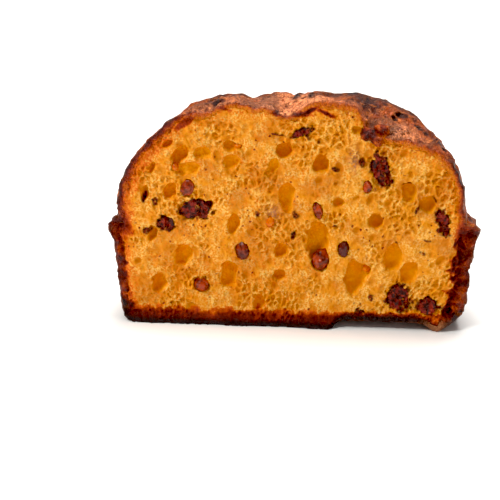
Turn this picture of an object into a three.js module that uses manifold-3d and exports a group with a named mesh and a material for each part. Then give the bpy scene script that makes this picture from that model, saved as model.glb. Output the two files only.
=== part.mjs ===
// Half of a panettone, the sweet domed yeast bread, cut straight down and standing on its base.
// It was baked in a low round mould: the side wall leans out to a ragged lip where the dough
// met the mould's rim, and above the lip the dome rose free.
// Millimetres. +Z is up, the loaf's own axis is the Z axis, and the cut face looks along -Y.

import * as THREE from "three";
import { mergeVertices } from "three/addons/utils/BufferGeometryUtils.js";
import Module from "manifold-3d";

const wasm = await Module();
wasm.setup();

// Driving dimensions of the loaf
const BASE_RADIUS = 99;
const SIDE_TOP_RADIUS = 104.4;
const LIP_OVERHANG = 1.4;
const LIP_HEIGHT = 61;
const NECK_RADIUS = 98;
const NECK_HEIGHT = 68.5;
const DOME_RISE = 68;
const DOME_FULLNESS = 2.35; // 2 is an ellipse, more is squarer
const CORNER = 7; // rounding between base and side
const CUT = 8; // the knife passed this far in front of the axis

// The loaf's skin is a grid of rings and spokes, fine only on the half that is kept
const FINE_SPOKES = 58;
const COARSE_SPOKES = 8;
const PAST_THE_CUT = THREE.MathUtils.degToRad(9);
const DOME_RINGS = 22;
const SIDE_RINGS = 8;

// The cut face is a grid too
const FACE_COLUMNS = 38;
const FACE_ROW = 6.4;
const FACE_STRIP_ROWS = [-6, -2, 4.2, 6];
const FACE_TOP = 151;
const FACE_HALF_WIDTH = 116;
const LOAF_BACK = 125;

// Fruit and chocolate sit in pockets that are this much larger all round
const POCKET_GAP = 0.35;

const { smoothstep, degToRad } = THREE.MathUtils;
const bell = (x, centre, width) => Math.exp(-(((x - centre) / width) ** 2));

// A repeatable random sequence from 0 to 1
function dice(seed) {
  let state = seed;
  return () => {
    state = (Math.imul(state, 1664525) + 1013904223) >>> 0;
    return state / 4294967296;
  };
}

// Three crossed sine waves, bent by a slower one: an unevenness of about -1 to 1
function ripple(x, y, z, length, seed) {
  const k = (2 * Math.PI) / length;
  const bend = 1.7 * Math.sin(k * 0.37 * (x + 0.6 * y - 0.8 * z) + seed);
  return (
    (Math.sin(k * (0.9 * x + 0.4 * y + 0.2 * z) + bend + seed) +
      Math.sin(k * (-0.5 * x + 0.8 * y + 0.5 * z) - bend + 2.3 * seed) +
      Math.sin(k * (0.2 * x - 0.6 * y + 0.9 * z) + 1.9 * bend + 4.1 * seed)) /
    3
  );
}

// A point of the bare profile, from the base's middle over the lip to the top of the dome
function sideRadius(z) {
  return BASE_RADIUS + ((SIDE_TOP_RADIUS - BASE_RADIUS) * z) / LIP_HEIGHT;
}

function profile() {
  const points = [];
  for (const share of [0, 0.22, 0.42, 0.58, 0.71, 0.82, 0.91, 1])
    points.push([share * (BASE_RADIUS - CORNER), 0]);
  for (const turn of [30, 60, 90]) {
    const a = degToRad(turn);
    points.push([
      sideRadius(CORNER) - CORNER + CORNER * Math.sin(a),
      CORNER - CORNER * Math.cos(a),
    ]);
  }
  const sideTop = LIP_HEIGHT - 5;
  for (let i = 1; i <= SIDE_RINGS; i++) {
    const z = CORNER + ((sideTop - CORNER) * i) / SIDE_RINGS;
    points.push([sideRadius(z), z]);
  }
  points.push([SIDE_TOP_RADIUS, LIP_HEIGHT - 2]);
  points.push([SIDE_TOP_RADIUS, LIP_HEIGHT + 2]);
  points.push([SIDE_TOP_RADIUS - 1.2, LIP_HEIGHT + 4.6]);
  points.push([NECK_RADIUS + 1.6, LIP_HEIGHT + 5.4]);
  for (let i = 0; i <= DOME_RINGS; i++) {
    const a = (Math.PI / 2) * (i / DOME_RINGS);
    const power = 2 / DOME_FULLNESS;
    points.push([
      NECK_RADIUS * Math.cos(a) ** power,
      NECK_HEIGHT + DOME_RISE * Math.sin(a) ** power,
    ]);
  }
  points[points.length - 1][0] = 0;
  return points;
}

// Where the crust sank or tore beside the cut: a long shelf along the scored cross on the right,
// a fold in the middle with a hollow beside it and a small step on the left. Each fades out
// behind the cut.
function crustDip(x, y) {
  const behind = y + CUT;
  const shelf =
    12.5 * smoothstep(x, 34, 44) * (1 - smoothstep(x, 48, 98)) * bell(behind, 0, 18);
  const fold = 8.5 * bell(x, -2, 9) * bell(behind, 0, 12);
  const step = 3 * bell(x, -46, 7) * bell(behind, 0, 14);
  const hollow = 3.2 * bell(x, -20, 8) * bell(behind, 0, 26);
  return shelf + fold + step + hollow;
}

// Waves over the dome behind the cut: x, half width and how deep each one lies
const DOME_WAVES = [
  [-53, 7, 1.6],
  [-26, 5, 2.2],
  [-4, 30, 2.6],
  [21, 7, 2],
  [50, 6.5, -2.8],
  [73, 6, 1.8],
];

// Behind the cut the dome is a little lower, least so on the right, and on the left it
// falls away at once
function domeSag(x, y) {
  const behind = y + CUT;
  const atOnce = 9.5 * smoothstep(behind, -2, 26) * smoothstep(-x, 58, 86);
  const right = smoothstep(x, 22, 48) * (1 - smoothstep(x, 62, 92));
  let waves = 0;
  for (const [centre, width, depth] of DOME_WAVES) waves += depth * bell(x, centre, width);
  return (
    (8 - 4.5 * right) * smoothstep(behind, 5, 75) + waves * smoothstep(behind, 3, 22) + atOnce
  );
}

// The scored cross on top: shallow grooves with raised edges, running back from the cut
function scoreLine(x, y) {
  const along = 0.35 * x - 0.94 * (y - 30);
  const groove = bell(along, 0, 5) - 0.55 * bell(along, 10, 6) - 0.4 * bell(along, -11, 6);
  const across = x + 12 - 0.5 * (y + CUT);
  const second = bell(across, 0, 5) - 0.5 * bell(across, 10, 6) - 0.5 * bell(across, -10, 6);
  const nearTop = 1 - smoothstep(Math.hypot(x, y), 45, 85);
  return 3 * nearTop * (groove + second * smoothstep(y, 8, 24));
}

// The underside is lifted off the table at the right of the cut, but for one lump of crust
function baseLift(x, y) {
  const lump = Math.exp(-(((x - 84.5) / 6) ** 2) - ((y + CUT - 3) / 7) ** 2);
  const lifted = 5.2 * smoothstep(x, 23, 30) * (1 - smoothstep(y, 6, 30));
  return lifted * (1 - Math.min(1, 1.15 * lump));
}

// The lip hangs lower on the left, and lower all along behind the cut
function lipDrop(x, y) {
  return 3.5 * smoothstep(y + CUT, 1, 14) + 4.6 * smoothstep(-x, 80, 95);
}

// Above the lip the dome bellies out on the left, under a flatter shoulder, and is drawn in a
// little on the right
function cheeks(x, z) {
  const left = 2.6 * bell(z, 75, 9) - 2.1 * bell(z, 108, 13);
  const right = 1.4 * bell(z, 80, 8) + 1.4 * bell(z, 97, 10);
  return left * smoothstep(-x, 60, 78) - right * smoothstep(x, 70, 86);
}

// Moves a point of the bare profile to the real, uneven skin
function skin(r, z, angle) {
  let x = r * Math.cos(angle);
  let y = r * Math.sin(angle);
  const onDome = smoothstep(z, NECK_HEIGHT, NECK_HEIGHT + 14);
  const offBase = smoothstep(z, 0.5, CORNER);
  const lip = smoothstep(z, 47, 55) * (1 - smoothstep(z, LIP_HEIGHT + 2.5, LIP_HEIGHT + 5));
  const left = 0.8 * smoothstep(-x, 85, 100);
  const ragged = 1 + left + 0.7 * ripple(x, y, 0, 34, 0.7) + 0.5 * ripple(x, y, 0, 13, 2.9);
  const push =
    LIP_OVERHANG * ragged * lip +
    cheeks(x, z) +
    offBase * (0.5 + 0.9 * onDome) * ripple(x, y, z, 52, 1.3) +
    offBase * (0.45 + 0.35 * onDome) * (1 - 2 * Math.abs(ripple(x, y, z, 19, 4.2)));
  const up = Math.max(0, z - 60);
  const length = Math.hypot(x, y, up) || 1;
  x += (push * x) / length;
  y += (push * y) / length;
  let height = z + (push * up) / length;
  height += 1.1 * lip * ripple(x, y, 0, 27, 5.1);
  height -= lipDrop(x, y) * bell(z, LIP_HEIGHT + 2, 9);
  height -= crustDip(x, y) * smoothstep(z, 88, 112);
  height -= scoreLine(x, y) * smoothstep(z, 100, 120);
  height -= domeSag(x, y) * smoothstep(z, 78, 112);
  height += baseLift(x, y) * (1 - smoothstep(z, 2, 16));
  return [x, y, height];
}

// Depth of the cut face: how far behind y = 0 the crumb starts at a place on the face
function cutFace(x, z) {
  const knife = 0.7 * ripple(x, 0, z, 70, 0.4) + 0.45 * ripple(x, 0, z, 23, 3.3);
  const besideWall = smoothstep(z, -4, 6) * (1 - smoothstep(z, 58, 66));
  const torn = 5 * smoothstep(x, 88, 101) + 3 * smoothstep(-x, 90, 102);
  const strip = 2.6 * (1 - smoothstep(z, 4, 6)) * (1 - smoothstep(x, 22, 27));
  return -CUT + knife + torn * besideWall - strip;
}

// A closed three.js geometry as a manifold solid, and back
function solidFrom(geometry) {
  const bare = geometry.clone();
  for (const name of Object.keys(bare.attributes))
    if (name !== "position") bare.deleteAttribute(name);
  const merged = mergeVertices(bare, 1e-3);
  return new wasm.Manifold(
    new wasm.Mesh({
      numProp: 3,
      vertProperties: merged.attributes.position.array,
      triVerts: new Uint32Array(merged.index.array),
    }),
  );
}

function geometryFrom(solid) {
  const mesh = solid.getMesh();
  const positions = new Float32Array(mesh.numVert * 3);
  for (let i = 0; i < mesh.numVert; i++)
    positions.set(mesh.vertProperties.subarray(i * mesh.numProp, i * mesh.numProp + 3), i * 3);
  const geometry = new THREE.BufferGeometry();
  geometry.setAttribute("position", new THREE.BufferAttribute(positions, 3));
  geometry.setIndex(new THREE.BufferAttribute(mesh.triVerts, 1));
  geometry.computeVertexNormals();
  return geometry;
}

// The whole uncut loaf
function wholeLoaf() {
  const angles = [];
  const kept = Math.PI + 2 * PAST_THE_CUT;
  for (let i = 0; i < FINE_SPOKES; i++) angles.push(-PAST_THE_CUT + (kept * i) / FINE_SPOKES);
  for (let i = 0; i < COARSE_SPOKES; i++)
    angles.push(Math.PI + PAST_THE_CUT + ((2 * Math.PI - kept) * i) / COARSE_SPOKES);
  const rings = profile();
  const positions = [];
  for (const [r, z] of rings) for (const a of angles) positions.push(...skin(r, z, a));
  const index = [];
  const n = angles.length;
  for (let i = 0; i + 1 < rings.length; i++)
    for (let j = 0; j < n; j++) {
      const a = i * n + j;
      const b = i * n + ((j + 1) % n);
      if (i > 0) index.push(a, b, b + n);
      if (i + 2 < rings.length) index.push(a, b + n, a + n);
    }
  const geometry = new THREE.BufferGeometry();
  geometry.setAttribute("position", new THREE.Float32BufferAttribute(positions, 3));
  geometry.setIndex(index);
  return solidFrom(geometry);
}

// Everything behind the knife's path, with the uneven cut face as its front
function behindTheKnife() {
  const plainRows = Math.round((FACE_TOP - FACE_STRIP_ROWS.at(-1)) / FACE_ROW);
  const rows = [...FACE_STRIP_ROWS];
  for (let i = 1; i <= plainRows; i++)
    rows.push(FACE_STRIP_ROWS.at(-1) + ((FACE_TOP - FACE_STRIP_ROWS.at(-1)) * i) / plainRows);
  const last = rows.length - 1;
  const geometry = new THREE.BoxGeometry(2 * FACE_HALF_WIDTH, 1, last, FACE_COLUMNS, 1, last);
  const position = geometry.attributes.position;
  for (let i = 0; i < position.count; i++) {
    const x = position.getX(i);
    const z = rows[Math.round(position.getZ(i) + last / 2)];
    const front = position.getY(i) < 0;
    position.setXYZ(i, x, front ? cutFace(x, z) : LOAF_BACK, z);
  }
  return solidFrom(geometry);
}

// A lumpy egg at a place on the cut face: half sizes across, up and into the bread, and the
// turn in degrees that leans its top to the right. Its middle lies behind the face by the share
// sunk of its depth, and grow widens it all round.
function egg({ x, z, across, tall, deep, lean = 0, sunk = 0.3 }, [wide, high], grow = 0) {
  const geometry = new THREE.SphereGeometry(1, wide, high);
  const position = geometry.attributes.position;
  const v = new THREE.Vector3();
  for (let i = 0; i < position.count; i++) {
    v.fromBufferAttribute(position, i);
    const lump = 1 + 0.09 * ripple(4 * v.x + x, 4 * v.y, 4 * v.z + z, 7, 1.1);
    v.multiplyScalar(lump);
    position.setXYZ(i, v.x * (across + grow), v.y * (deep + grow), v.z * (tall + grow));
  }
  geometry.rotateY(degToRad(lean));
  geometry.translate(x, cutFace(x, z) + sunk * deep, z);
  return geometry;
}

// The large bubbles that the knife opened, as they lie on the face
const BUBBLES = [
  { x: -64, z: 102.5, across: 4, tall: 6.6, deep: 6, lean: 35 },
  { x: -70, z: 109, across: 3.6, tall: 1.9, deep: 4, lean: -30 },
  { x: -59.5, z: 94, across: 7.5, tall: 4.2, deep: 4, lean: -15 },
  { x: -50, z: 104.5, across: 5.3, tall: 4, deep: 3.5 },
  { x: -34.5, z: 108.5, across: 4.2, tall: 2.8, deep: 4, lean: 15 },
  { x: -34, z: 99.5, across: 4.7, tall: 4.2, deep: 3.5 },
  { x: -4, z: 107, across: 5, tall: 4.7, deep: 6 },
  { x: -10.5, z: 98.5, across: 3, tall: 4.3, deep: 3.5 },
  { x: 16, z: 99.5, across: 5, tall: 5.8, deep: 6.5 },
  { x: -2.5, z: 79, across: 4.4, tall: 9.6, deep: 5 },
  { x: -70, z: 81, across: 4, tall: 6, deep: 5.5, lean: 12 },
  { x: 48, z: 67, across: 4.2, tall: 5.2, deep: 6.5 },
  { x: 66.5, z: 84.5, across: 5, tall: 5.5, deep: 6, lean: -10 },
  { x: 77, z: 77.5, across: 5, tall: 4.9, deep: 6 },
  { x: 15.5, z: 52.5, across: 6.8, tall: 13, deep: 7 },
  { x: 37, z: 32, across: 8, tall: 9.4, deep: 6.5, lean: 12 },
  { x: 58.5, z: 44, across: 5.8, tall: 8.6, deep: 5.5, lean: 5 },
  { x: 67.5, z: 36, across: 5.3, tall: 6.8, deep: 4.5 },
  { x: -5.5, z: 46.5, across: 4, tall: 5, deep: 5 },
  { x: -6.5, z: 31.5, across: 4, tall: 4.5, deep: 5 },
  { x: -48, z: 72.5, across: 4, tall: 2.6, deep: 4.5, lean: -35 },
  { x: -79.5, z: 94.5, across: 1.9, tall: 4.4, deep: 4, lean: 14 },
  { x: -84, z: 78.5, across: 2, tall: 4.6, deep: 5, lean: 10 },
  { x: 27, z: 77, across: 3.2, tall: 2.6, deep: 3.5 },
  { x: -33, z: 62, across: 3.6, tall: 6.5, deep: 5, lean: 8 },
  { x: -62, z: 42, across: 5, tall: 7.2, deep: 5.5, lean: 10 },
  { x: -36, z: 31, across: 5.6, tall: 8, deep: 6, lean: 5 },
  { x: -80, z: 55, across: 3.4, tall: 6, deep: 5, lean: 10 },
  { x: -77, z: 24, across: 4.2, tall: 5.4, deep: 5 },
  { x: -18, z: 14.5, across: 3.6, tall: 5.4, deep: 4.5 },
];

// A slit where the side crust came away from the crumb, beside the lip on the right
const SIDE_SLIT = { x: 97.2, z: 47, across: 2.5, tall: 11, deep: 9, lean: -8, sunk: 0 };

// Raisins and candied peel bulge out of the cut, firm chocolate is sliced level with it
const RAISINS = [
  { x: 17, z: 41, across: 5.6, tall: 6.5, deep: 4.6, lean: 20, sunk: 0.8 },
  { x: 30, z: 49, across: 3.5, tall: 5.2, deep: 3.4, lean: 8, sunk: 0.6 },
  { x: 15, z: 72, across: 2.9, tall: 5.2, deep: 3, lean: -12, sunk: 0.6 },
  { x: -59.5, z: 83, across: 4, tall: 5.6, deep: 3.6, lean: 15, sunk: 0.6 },
  { x: 42.5, z: 87, across: 2.9, tall: 4, deep: 3, sunk: 0.6 },
  { x: -28, z: 46, across: 4.4, tall: 5.6, deep: 3.8, lean: -10, sunk: 0.6 },
  { x: -52, z: 24, across: 5, tall: 4.6, deep: 4, lean: 25, sunk: 0.6 },
];
const CHOCOLATES = [
  { x: 50, z: 97, across: 5, tall: 10, deep: 5, lean: -10, sunk: 0.25 },
  { x: -55, z: 70, across: 8.6, tall: 5.6, deep: 5.4, lean: -6, sunk: 0.25 },
  { x: 85.5, z: 67, across: 3.9, tall: 7.6, deep: 4.2, lean: -12, sunk: 0.25 },
  { x: 62.5, z: 19.5, across: 6.6, tall: 8, deep: 4.8, lean: -18, sunk: 0.25 },
  { x: 79, z: 15.5, across: 5.6, tall: 5.4, deep: 5, sunk: 0.25 },
  { x: 39.5, z: 9.8, across: 3.4, tall: 3.6, deep: 3.6, sunk: 0.25 },
  { x: 5, z: 117.5, across: 6, tall: 2.2, deep: 3, lean: -24, sunk: 0.25 },
  { x: -72, z: 61, across: 4.6, tall: 4.2, deep: 4, lean: 10, sunk: 0.25 },
];
const PEELS = [
  { x: 43.5, z: 36.5, across: 2.6, tall: 3, deep: 2.6, lean: 30, sunk: 2.1 },
  { x: -66.5, z: 95, across: 2.4, tall: 2.4, deep: 2.4, sunk: 1.1 },
  { x: -30.5, z: 108.5, across: 2.6, tall: 2, deep: 2.2, sunk: 1.6 },
  { x: -12, z: 64, across: 2.6, tall: 3.2, deep: 2.6, lean: 20, sunk: 0.6 },
];

const FILLING_EGG = [9, 6];
const BUBBLE_EGG = [8, 6];
const SMALL_EGG = [6, 4];
const SMALL_BUBBLES = 22;

// Small bubbles are strewn where no larger thing is, a little taller than wide
function smallBubbles(taken) {
  const roll = dice(20);
  const made = [];
  while (made.length < SMALL_BUBBLES) {
    const x = (2 * roll() - 1) * 88;
    const z = 8 + roll() * 116;
    const size = 1.5 + 1.3 * roll();
    const inside = Math.hypot(x / 90, Math.max(0, z - 60) / 66) < 0.93;
    const clear = [...taken, ...made].every(
      (o) => Math.hypot(o.x - x, o.z - z) > size + Math.max(o.across, o.tall) + 1.5,
    );
    if (inside && clear) made.push({ x, z, across: size, tall: 1.5 * size, deep: 1.6 * size });
  }
  return made;
}

const wheat = new THREE.MeshStandardMaterial({ color: "#d98f2c", roughness: 0.85 });
const amber = new THREE.MeshStandardMaterial({ color: "#7a2c0c", roughness: 0.4 });
const cocoa = new THREE.MeshStandardMaterial({ color: "#3a120a", roughness: 0.5 });
const orange = new THREE.MeshStandardMaterial({ color: "#e0660f", roughness: 0.35 });

const knife = behindTheKnife();
const placed = [...RAISINS, ...CHOCOLATES, ...PEELS];
const pockets = placed.map((place) => solidFrom(egg(place, FILLING_EGG, POCKET_GAP)));
const bubbles = [
  ...[...BUBBLES, SIDE_SLIT].map((place) => solidFrom(egg(place, BUBBLE_EGG))),
  ...smallBubbles([...placed, ...BUBBLES]).map((place) => solidFrom(egg(place, SMALL_EGG))),
];
const bread = wholeLoaf()
  .intersect(knife)
  .simplify(0.35)
  .subtract(wasm.Manifold.union(bubbles))
  .simplify(0.25)
  .subtract(wasm.Manifold.union(pockets))
  .simplify(0.01);
const largest = bread.decompose().sort((a, b) => b.volume() - a.volume())[0];

const loafGroup = new THREE.Group();
const loaf = new THREE.Mesh(geometryFrom(largest), wheat);
loaf.name = "loaf";
loafGroup.add(loaf);

function addFillings(places, name, material, firm) {
  places.forEach((place, i) => {
    const whole = solidFrom(egg(place, FILLING_EGG));
    const solid = firm ? whole.intersect(knife).simplify(0.1) : whole;
    const mesh = new THREE.Mesh(geometryFrom(solid), material);
    mesh.name = `${name}_${i + 1}`;
    loafGroup.add(mesh);
  });
}
addFillings(RAISINS, "raisin", amber, false);
addFillings(CHOCOLATES, "chocolate", cocoa, true);
addFillings(PEELS, "candied_peel", orange, false);

export default loafGroup;
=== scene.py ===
import functools
import math

import bmesh
import bpy
import numpy as np
import openvdb
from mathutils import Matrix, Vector


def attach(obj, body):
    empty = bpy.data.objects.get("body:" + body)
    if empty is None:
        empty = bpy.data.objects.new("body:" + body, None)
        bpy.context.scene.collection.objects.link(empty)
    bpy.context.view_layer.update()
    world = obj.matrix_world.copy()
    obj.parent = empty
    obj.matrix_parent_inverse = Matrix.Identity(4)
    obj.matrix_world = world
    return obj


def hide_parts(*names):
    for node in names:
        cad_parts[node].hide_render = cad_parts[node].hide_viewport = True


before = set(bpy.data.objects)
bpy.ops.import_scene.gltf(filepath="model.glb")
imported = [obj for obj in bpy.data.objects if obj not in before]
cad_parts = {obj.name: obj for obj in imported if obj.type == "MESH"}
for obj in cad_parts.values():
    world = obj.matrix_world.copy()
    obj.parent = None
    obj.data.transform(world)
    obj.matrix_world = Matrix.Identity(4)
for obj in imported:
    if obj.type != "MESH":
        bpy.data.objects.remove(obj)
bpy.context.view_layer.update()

bl_info = {
    "name": "Half Panettone",
    "version": (1, 0, 0),
    "blender": (4, 5, 0),
    "location": "View3D > Sidebar > Panettone",
    "description": "Makes the crust, crumb, fruit and chocolate of half a panettone, and its stage",
    "category": "Object",
}

MM = 0.001

# The loaf's shape in millimetres: the same values as the solids have

BASE_RADIUS = 99.0
SIDE_TOP_RADIUS = 104.4
LIP_OVERHANG = 1.4
LIP_HEIGHT = 61.0
NECK_RADIUS = 98.0
NECK_HEIGHT = 68.5
DOME_RISE = 68.0
DOME_FULLNESS = 2.35
CORNER = 7.0
CUT = 8.0
DOME_RINGS = 44
# Waves over the dome behind the cut: x, half width and how deep each one lies
DOME_WAVES = [
    (-53, 7, 1.6),
    (-26, 5, 2.2),
    (-4, 30, 2.6),
    (21, 7, 2.0),
    (50, 6.5, -2.8),
    (73, 6, 1.8),
]
# Small places where the crust sank beside the cut: x, half width, how deep, how far back
SUNK_PLACES = [
    (-2, 9, 8.5, 12),
    (-46, 7, 3, 14),
    (-20, 8, 3.2, 26),
]
# The two slashes of the scored cross, each a groove and its raised edges: offset, half width
# and depth
SCORE_ALONG = [(0, 5, 1), (10, 6, -0.55), (-11, 6, -0.4)]
SCORE_ACROSS = [(0, 5, 1), (10, 6, -0.5), (-10, 6, -0.5)]

# The crust piece is a rim round the cut, and the crumb piece fills it. Each is closed behind:
# how far back, and how much it narrows on the way, about a height in the middle
RIM_WIDTH = 4.2
CRUMB_INSET = 2.4
CRUST_BACK, CRUST_TAPER = 9.0, 0.9
CRUMB_BACK, CRUMB_TAPER = 8.0, 0.93
TAPER_MIDDLE = 60.0
# Where the blocks that they are carved from start and end along each axis: for the crust x, y
# and z, for the crumb x and z
CRUST_BLOCK = ((-111, 111), (-16, 112), (-3, 145))
CRUMB_BLOCK = ((-106, 106), (0.5, 141))
# Relief is worked out this near the skin, and distances from it are cut off at the second
SKIN_BAND = 5.0
FAR_AWAY = 3.0
# The cells fan out upwards round a point this far under the base. The radius is where their
# width is measured, and they are taller than wide
FAN_DEPTH = 150.0
FAN_RADIUS = 220.0
TALL_CELLS = 1.4

# Bubbles that the knife opened: x, z, half width, half height, depth, lean in degrees
BUBBLES = [
    (-64, 102.5, 4, 6.6, 6, 35),
    (-70, 109, 3.6, 1.9, 4, -30),
    (-59.5, 94, 7.5, 4.2, 4, -15),
    (-50, 104.5, 5.3, 4, 3.5, 0),
    (-34.5, 108.5, 4.2, 2.8, 4, 15),
    (-34, 99.5, 4.7, 4.2, 3.5, 0),
    (-4, 107, 5, 4.7, 6, 0),
    (-10.5, 98.5, 3, 4.3, 3.5, 0),
    (16, 99.5, 5, 5.8, 6.5, 0),
    (-2.5, 79, 4.4, 9.6, 5, 0),
    (-70, 81, 4, 6, 5.5, 12),
    (48, 67, 4.2, 5.2, 6.5, 0),
    (66.5, 84.5, 5, 5.5, 6, -10),
    (77, 77.5, 5, 4.9, 6, 0),
    (15.5, 52.5, 6.8, 13, 7, 0),
    (37, 32, 8, 9.4, 6.5, 12),
    (58.5, 44, 5.8, 8.6, 5.5, 5),
    (67.5, 36, 5.3, 6.8, 4.5, 0),
    (-5.5, 46.5, 4, 5, 5, 0),
    (-6.5, 31.5, 4, 4.5, 5, 0),
    (-48, 72.5, 4, 2.6, 4.5, -35),
    (-79.5, 94.5, 1.9, 4.4, 4, 14),
    (-84, 78.5, 2, 4.6, 5, 10),
    (27, 77, 3.2, 2.6, 3.5, 0),
    (-33, 62, 3.6, 6.5, 5, 8),
    (-62, 42, 5, 7.2, 5.5, 10),
    (-36, 31, 5.6, 8, 6, 5),
    (-80, 55, 3.4, 6, 5, 10),
    (-77, 24, 4.2, 5.4, 5, 0),
    (-18, 14.5, 3.6, 5.4, 4.5, 0),
]
SIDE_SLIT = (97.2, 47, 2.5, 11, 9, -8)
# Fine ones between them: how many, and the smallest and the largest half width
FINE_BUBBLES = [(420, 1.2, 2.6), (3000, 0.5, 1.1)]
# Gaps in the rusty crumb beside the wall, and one under the top crust, given in the same way
CAVITIES = [
    (90.0, 12.5, 3.2, 4.0, 5, 20),
    (95.5, 26, 2.0, 4.5, 4, -10),
    (36.5, 120.0, 4.2, 2.2, 2.4, 10),
]

# Fillings on the cut: x, z, half width, half height, half depth, lean in degrees, and how far
# each one's middle lies behind the cut, in shares of its half depth
RAISINS = [
    (17, 41, 5.6, 6.5, 4.6, 20, 0.8),
    (30, 49, 3.5, 5.2, 3.4, 8, 0.6),
    (15, 72, 2.9, 5.2, 3, -12, 0.6),
    (-59.5, 83, 4, 5.6, 3.6, 15, 0.6),
    (42.5, 87, 2.9, 4, 3, 0, 0.6),
    (-28, 46, 4.4, 5.6, 3.8, -10, 0.6),
    (-52, 24, 5, 4.6, 4, 25, 0.6),
]
# How much red shines through each raisin's skin
RAISIN_RIPENESS = [0.72, 0.45, 0.7, 0.7, 0.8, 0.65, 0.75]
CHOCOLATES = [
    (50, 97, 5, 10, 5, -10, 0.25),
    (-55, 70, 8.6, 5.6, 5.4, -6, 0.25),
    (85.5, 67, 3.9, 7.6, 4.2, -12, 0.25),
    (62.5, 19.5, 6.6, 8, 4.8, -18, 0.25),
    (79, 15.5, 5.6, 5.4, 5, 0, 0.25),
    (39.5, 9.8, 3.4, 3.6, 3.6, 0, 0.25),
    (5, 117.5, 6, 2.2, 3, -24, 0.25),
    (-72, 61, 4.6, 4.2, 4, 10, 0.25),
]
PEELS = [
    (43.5, 36.5, 2.6, 3, 2.6, 30, 2.1),
    (-66.5, 95, 2.4, 2.4, 2.4, 0, 1.1),
    (-30.5, 108.5, 2.6, 2, 2.2, 0, 1.6),
    (-12, 64, 2.6, 3.2, 2.6, 20, 0.6),
]
PEEL_RIPENESS = 0.9
EGG_ROUNDNESS = 5

# Thin dark red streaks of chocolate in the crumb: x, z, half width, half height, lean
FLECKS = [
    (2.1, 68.8, 2.2, 2.6, 0),
    (1.4, 56.8, 1.6, 3.0, 10),
    (-84.7, 76, 1.4, 3.4, 8),
    (-78.4, 74, 1.8, 2.6, 0),
    (-82.9, 56, 3.4, 2.2, -20),
    (39, 102, 1.7, 2.9, -20),
    (8.7, 115, 1.2, 3.2, -35),
    (14.6, 112, 1.2, 1.4, 0),
    (24.5, 96.4, 2.4, 1.7, 20),
    (25, 63, 1.2, 1.0, 0),
    (77.5, 56, 2.6, 1.1, 15),
    (75.5, 48, 1.8, 2.2, -30),
    (70.7, 73.8, 0.9, 2.8, 20),
    (80.2, 81.2, 0.9, 2.0, -25),
    (60, 53.5, 1.0, 1.8, 0),
    (45.8, 20, 2.2, 2.6, 0),
    (89.7, 13.5, 2.6, 3.4, 20),
    (-8, 116, 4.2, 0.8, 12),
    (-19.5, 69, 1.6, 1.8, 0),
    (64.5, 88.8, 2.6, 1.0, 0),
]

# Greyish smudges on the cut, where the knife dragged: x, z, half width, half height
SMUDGES = [(-10.8, 68.8, 4, 6), (34.6, 102.7, 3, 7)]

# Darkening in the crumb under folds of the crust, partly browning and partly painted shade: x, z,
# half width, half height, lean, strength
SHADE_AND_BROWNING_UNDER_FOLDS = [
    (-2, 128.4, 9.5, 1.7, 0, 0.9),
    (10, 130.6, 5.0, 1.2, -30, 0.85),
    (18.5, 129.4, 5.5, 1.1, 25, 0.75),
    (-41, 131, 7.0, 1.2, 12, 0.55),
    (-61, 121, 7.0, 2.0, -35, 0.55),
    (-100, 58, 7.0, 6.0, 0, 0.6),
]

# Lumps on the crust: centre x, y, z, then half sizes
CLUMP_AT_CUT = [
    (41.0, -7.0, 117.5, 3.6, 4.4, 3.6),
    (46.5, -7.2, 116.0, 3.8, 4.6, 3.8),
    (49.8, -5.0, 121.0, 4.0, 4.4, 3.2),
]
SCORCHED_RAISINS = [
    (1.2, 7.0, 133.0, 2.6, 2.8, 2.6),
    (9.9, 3.5, 135.0, 2.8, 2.8, 2.4),
]
FOLDED_FLAP = (57.5, 0.5, 118.5, 7.0, 4.0, 2.6)
CRUST_LUMPS = [
    *CLUMP_AT_CUT,
    (37.5, -3.0, 124.5, 4.0, 5.0, 3.6),
    *SCORCHED_RAISINS,
    FOLDED_FLAP,
]
# Holes and tears in the crust: centre x, y, z, then half sizes
CRUST_HOLES = [
    (55.9, 8.0, 122.8, 1.9, 1.6, 2.0),
    (60.5, 13.0, 123.6, 4.2, 2.2, 1.5),
    (71.0, 8.4, 118.3, 3.6, 1.6, 2.0),
    (75.5, 7.0, 115.8, 2.6, 1.4, 1.8),
    (84.6, -1.0, 109.2, 1.5, 2.4, 2.6),
    (-29.8, 2.0, 136.0, 4.6, 1.5, 1.5),
]

# The photograph's view, in degrees, metres and pixels: a point and where it lands in the frame
PHOTO_AZIMUTH, PHOTO_ELEVATION = math.radians(4), math.radians(20)
CAMERA_DISTANCE = 0.9
PIXELS_PER_METRE = 1762.0
FRAME_PIXELS = 500
SENSOR_WIDTH = 36.0
LOOKED_AT = Vector((0.0, -0.008, 0.07))
LANDS_AT = (291.0, 213.1)

# Soft square lights: name, place and size in metres, power in watts and colour
LIGHTS = [
    ("key", (-0.75, -0.5, 0.95), 0.35, 11.5, (1.0, 0.98, 0.94)),
    ("top", (0.1, 0.35, 1.4), 0.9, 30, (1.0, 0.99, 0.97)),
    ("fill", (0.6, -1.2, 0.4), 0.9, 2.0, (1.0, 0.98, 0.96)),
]
STUDIO_GLOW = 0.25
BLACK_LEVEL = 0.015
FLOOR_REACH = 4.0


def smoothstep(value, low, high):
    """A soft step: 0 up to low, 1 from high on."""
    share = np.clip((value - low) / (high - low), 0, 1)
    return share * share * (3 - 2 * share)


def bell(value, centre, width):
    """A soft hump: 1 at its centre, about a third at its half width."""
    return np.exp(-(((value - centre) / width) ** 2))


def greatest(*values):
    """The greatest of several values at each place."""
    return functools.reduce(np.maximum, values)


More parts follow.
